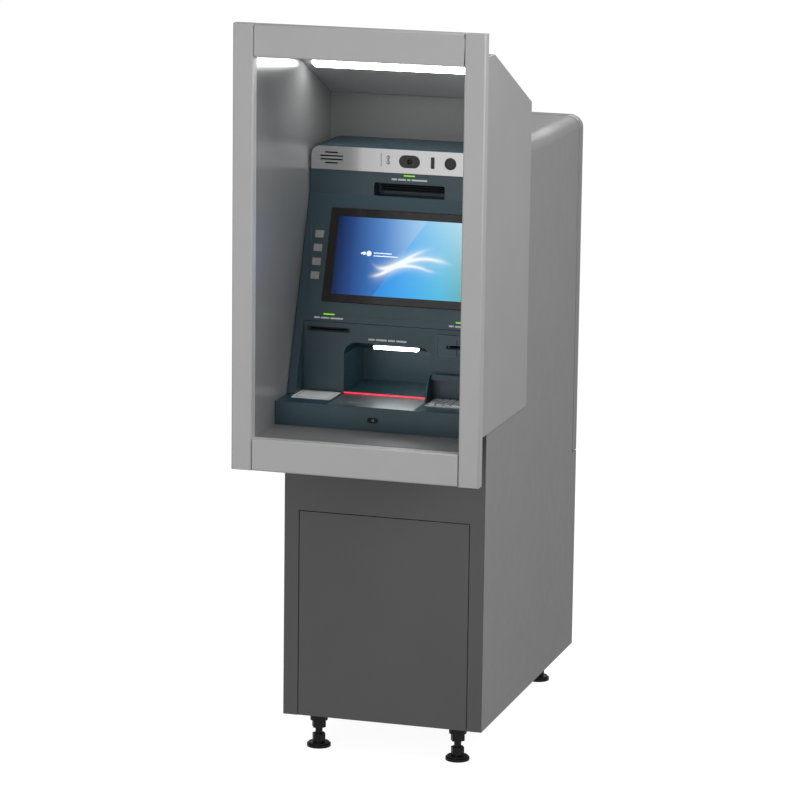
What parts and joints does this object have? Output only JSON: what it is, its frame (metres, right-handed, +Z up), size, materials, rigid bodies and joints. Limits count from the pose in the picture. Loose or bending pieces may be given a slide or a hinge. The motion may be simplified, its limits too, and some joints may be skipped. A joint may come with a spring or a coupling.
{
  "type": "automated teller machine",
  "caption": "Through-the-wall automated teller machine: wall surround, weather hood, slanted customer fascia and a floor cabinet with rear service door and safe.",
  "frame": {"origin": "middle of the bounding box in X and Y, on the floor in Z", "axes": "+X to the customer's right, +Y into the wall towards the rear service door, +Z up; the customer stands on the -Y side"},
  "size_m": [0.616, 1.14, 1.833],
  "materials": {
    "surround_paint": "satin powder coat",
    "hood_metal": "satin powder coat",
    "liner_paint": "satin",
    "lamp_white": "opal diffuser",
    "fascia_plastic": "fine texture",
    "brushed_aluminium": "brushed",
    "black_gloss": "gloss",
    "led_green": "lit",
    "display_glass": "gloss",
    "module_metal": "zinc",
    "keypad_steel": "brushed",
    "pad_grey": "matt",
    "module_plastic": "matt",
    "cabinet_paint": "satin powder coat",
    "foot_black": "gloss paint",
    "safe_paint": "hammered enamel",
    "lock_chrome": "polished",
    "cassette_plastic": "matt",
    "key_grey": "satin"
  },
  "bodies": {
    "cabinet": {"trim_stile_left": "surround_paint", "trim_stile_right": "surround_paint", "trim_rail_top": "surround_paint", "trim_rail_bottom": "surround_paint", "hood_side_left": "hood_metal", "hood_side_right": "hood_metal", "hood_roof": "hood_metal", "hood_liner": "liner_paint", "hood_lamp": "lamp_white", "fascia_panel": "fascia_plastic", "header_plate": "brushed_aluminium", "sensor_windows": "black_gloss", "indicator_lights": "led_green", "display_glass": "display_glass", "display_module": "module_metal", "fascia_lower": "fascia_plastic", "card_reader": "fascia_plastic", "keypad_shroud": "fascia_plastic", "keypad_plate": "keypad_steel", "shelf": "fascia_plastic", "shelf_plate": "black_gloss", "contactless_pad": "pad_grey", "receipt_printer": "module_plastic", "cabinet_shell": "cabinet_paint", "cabinet_frame": "cabinet_paint", "front_cover": "cabinet_paint", "leveling_feet": "foot_black", "safe_body": "safe_paint", "cash_recycler": "module_plastic", "cash_cassettes": "cassette_plastic", "pc_unit": "module_metal"},
    "cash_shutter": {"cash_shutter": "fascia_plastic"},
    "safe_door": {"safe_door": "safe_paint"},
    "safe_handle": {"safe_handle": "lock_chrome"},
    "lock_dial": {"lock_dial": "lock_chrome"},
    "rear_door": {"rear_door": "cabinet_paint"},
    "function_key_1": {"function_key_1": "key_grey"},
    "function_key_2": {"function_key_2": "key_grey"},
    "function_key_3": {"function_key_3": "key_grey"},
    "function_key_4": {"function_key_4": "key_grey"},
    "function_key_5": {"function_key_5": "key_grey"},
    "function_key_6": {"function_key_6": "key_grey"},
    "function_key_7": {"function_key_7": "key_grey"},
    "function_key_8": {"function_key_8": "key_grey"},
    "keypad_key_1": {"keypad_key_1": "keypad_steel"},
    "keypad_key_2": {"keypad_key_2": "keypad_steel"},
    "keypad_key_3": {"keypad_key_3": "keypad_steel"},
    "keypad_key_4": {"keypad_key_4": "keypad_steel"},
    "keypad_key_5": {"keypad_key_5": "keypad_steel"},
    "keypad_key_6": {"keypad_key_6": "keypad_steel"},
    "keypad_key_7": {"keypad_key_7": "keypad_steel"},
    "keypad_key_8": {"keypad_key_8": "keypad_steel"},
    "keypad_key_9": {"keypad_key_9": "keypad_steel"},
    "keypad_key_10": {"keypad_key_10": "keypad_steel"},
    "keypad_key_11": {"keypad_key_11": "keypad_steel"},
    "keypad_key_12": {"keypad_key_12": "keypad_steel"},
    "keypad_key_13": {"keypad_key_13": "keypad_steel"},
    "keypad_key_14": {"keypad_key_14": "keypad_steel"},
    "keypad_key_15": {"keypad_key_15": "keypad_steel"},
    "keypad_key_16": {"keypad_key_16": "keypad_steel"}
  },
  "joints": [
    {"name": "rear_door_hinge", "type": "hinge", "parent": "cabinet", "child": "rear_door", "pos_m": [-0.2625, 0.5305, 1.06], "axis": [0, 0, 1], "range_deg": [0, 115]},
    {"name": "safe_door_hinge", "type": "hinge", "parent": "cabinet", "child": "safe_door", "pos_m": [-0.238, 0.53, 0.354], "axis": [0, 0, 1], "range_deg": [0, 100]},
    {"name": "safe_handle_turn", "type": "hinge", "parent": "safe_door", "child": "safe_handle", "pos_m": [0.09, 0.53, 0.39], "axis": [0, 1, 0], "range_deg": [0, 90]},
    {"name": "lock_dial_turn", "type": "hinge", "parent": "safe_door", "child": "lock_dial", "pos_m": [-0.04, 0.53, 0.39], "axis": [0, 1, 0], "continuous": true},
    {"name": "cash_shutter_slide", "type": "slide", "parent": "cabinet", "child": "cash_shutter", "axis": [0, 1, 0], "range_m": [0, 0.1]},
    {"name": "function_key_1_press", "type": "slide", "parent": "cabinet", "child": "function_key_1", "axis": [0, 0.9436, -0.331], "range_m": [0, 0.0015], "stiffness_N_per_m": 300, "springref_m": -0.003},
    {"name": "function_key_2_press", "type": "slide", "parent": "cabinet", "child": "function_key_2", "axis": [0, 0.9436, -0.331], "range_m": [0, 0.0015], "stiffness_N_per_m": 300, "springref_m": -0.003},
    {"name": "function_key_3_press", "type": "slide", "parent": "cabinet", "child": "function_key_3", "axis": [0, 0.9436, -0.331], "range_m": [0, 0.0015], "stiffness_N_per_m": 300, "springref_m": -0.003},
    {"name": "function_key_4_press", "type": "slide", "parent": "cabinet", "child": "function_key_4", "axis": [0, 0.9436, -0.331], "range_m": [0, 0.0015], "stiffness_N_per_m": 300, "springref_m": -0.003},
    {"name": "function_key_5_press", "type": "slide", "parent": "cabinet", "child": "function_key_5", "axis": [0, 0.9436, -0.331], "range_m": [0, 0.0015], "stiffness_N_per_m": 300, "springref_m": -0.003},
    {"name": "function_key_6_press", "type": "slide", "parent": "cabinet", "child": "function_key_6", "axis": [0, 0.9436, -0.331], "range_m": [0, 0.0015], "stiffness_N_per_m": 300, "springref_m": -0.003},
    {"name": "function_key_7_press", "type": "slide", "parent": "cabinet", "child": "function_key_7", "axis": [0, 0.9436, -0.331], "range_m": [0, 0.0015], "stiffness_N_per_m": 300, "springref_m": -0.003},
    {"name": "function_key_8_press", "type": "slide", "parent": "cabinet", "child": "function_key_8", "axis": [0, 0.9436, -0.331], "range_m": [0, 0.0015], "stiffness_N_per_m": 300, "springref_m": -0.003},
    {"name": "keypad_key_1_press", "type": "slide", "parent": "cabinet", "child": "keypad_key_1", "axis": [0, 0, -1], "range_m": [0, 0.0015], "stiffness_N_per_m": 300, "springref_m": -0.003},
    {"name": "keypad_key_2_press", "type": "slide", "parent": "cabinet", "child": "keypad_key_2", "axis": [0, 0, -1], "range_m": [0, 0.0015], "stiffness_N_per_m": 300, "springref_m": -0.003},
    {"name": "keypad_key_3_press", "type": "slide", "parent": "cabinet", "child": "keypad_key_3", "axis": [0, 0, -1], "range_m": [0, 0.0015], "stiffness_N_per_m": 300, "springref_m": -0.003},
    {"name": "keypad_key_4_press", "type": "slide", "parent": "cabinet", "child": "keypad_key_4", "axis": [0, 0, -1], "range_m": [0, 0.0015], "stiffness_N_per_m": 300, "springref_m": -0.003},
    {"name": "keypad_key_5_press", "type": "slide", "parent": "cabinet", "child": "keypad_key_5", "axis": [0, 0, -1], "range_m": [0, 0.0015], "stiffness_N_per_m": 300, "springref_m": -0.003},
    {"name": "keypad_key_6_press", "type": "slide", "parent": "cabinet", "child": "keypad_key_6", "axis": [0, 0, -1], "range_m": [0, 0.0015], "stiffness_N_per_m": 300, "springref_m": -0.003},
    {"name": "keypad_key_7_press", "type": "slide", "parent": "cabinet", "child": "keypad_key_7", "axis": [0, 0, -1], "range_m": [0, 0.0015], "stiffness_N_per_m": 300, "springref_m": -0.003},
    {"name": "keypad_key_8_press", "type": "slide", "parent": "cabinet", "child": "keypad_key_8", "axis": [0, 0, -1], "range_m": [0, 0.0015], "stiffness_N_per_m": 300, "springref_m": -0.003},
    {"name": "keypad_key_9_press", "type": "slide", "parent": "cabinet", "child": "keypad_key_9", "axis": [0, 0, -1], "range_m": [0, 0.0015], "stiffness_N_per_m": 300, "springref_m": -0.003},
    {"name": "keypad_key_10_press", "type": "slide", "parent": "cabinet", "child": "keypad_key_10", "axis": [0, 0, -1], "range_m": [0, 0.0015], "stiffness_N_per_m": 300, "springref_m": -0.003},
    {"name": "keypad_key_11_press", "type": "slide", "parent": "cabinet", "child": "keypad_key_11", "axis": [0, 0, -1], "range_m": [0, 0.0015], "stiffness_N_per_m": 300, "springref_m": -0.003},
    {"name": "keypad_key_12_press", "type": "slide", "parent": "cabinet", "child": "keypad_key_12", "axis": [0, 0, -1], "range_m": [0, 0.0015], "stiffness_N_per_m": 300, "springref_m": -0.003},
    {"name": "keypad_key_13_press", "type": "slide", "parent": "cabinet", "child": "keypad_key_13", "axis": [0, 0, -1], "range_m": [0, 0.0015], "stiffness_N_per_m": 300, "springref_m": -0.003},
    {"name": "keypad_key_14_press", "type": "slide", "parent": "cabinet", "child": "keypad_key_14", "axis": [0, 0, -1], "range_m": [0, 0.0015], "stiffness_N_per_m": 300, "springref_m": -0.003},
    {"name": "keypad_key_15_press", "type": "slide", "parent": "cabinet", "child": "keypad_key_15", "axis": [0, 0, -1], "range_m": [0, 0.0015], "stiffness_N_per_m": 300, "springref_m": -0.003},
    {"name": "keypad_key_16_press", "type": "slide", "parent": "cabinet", "child": "keypad_key_16", "axis": [0, 0, -1], "range_m": [0, 0.0015], "stiffness_N_per_m": 300, "springref_m": -0.003}
  ]
}
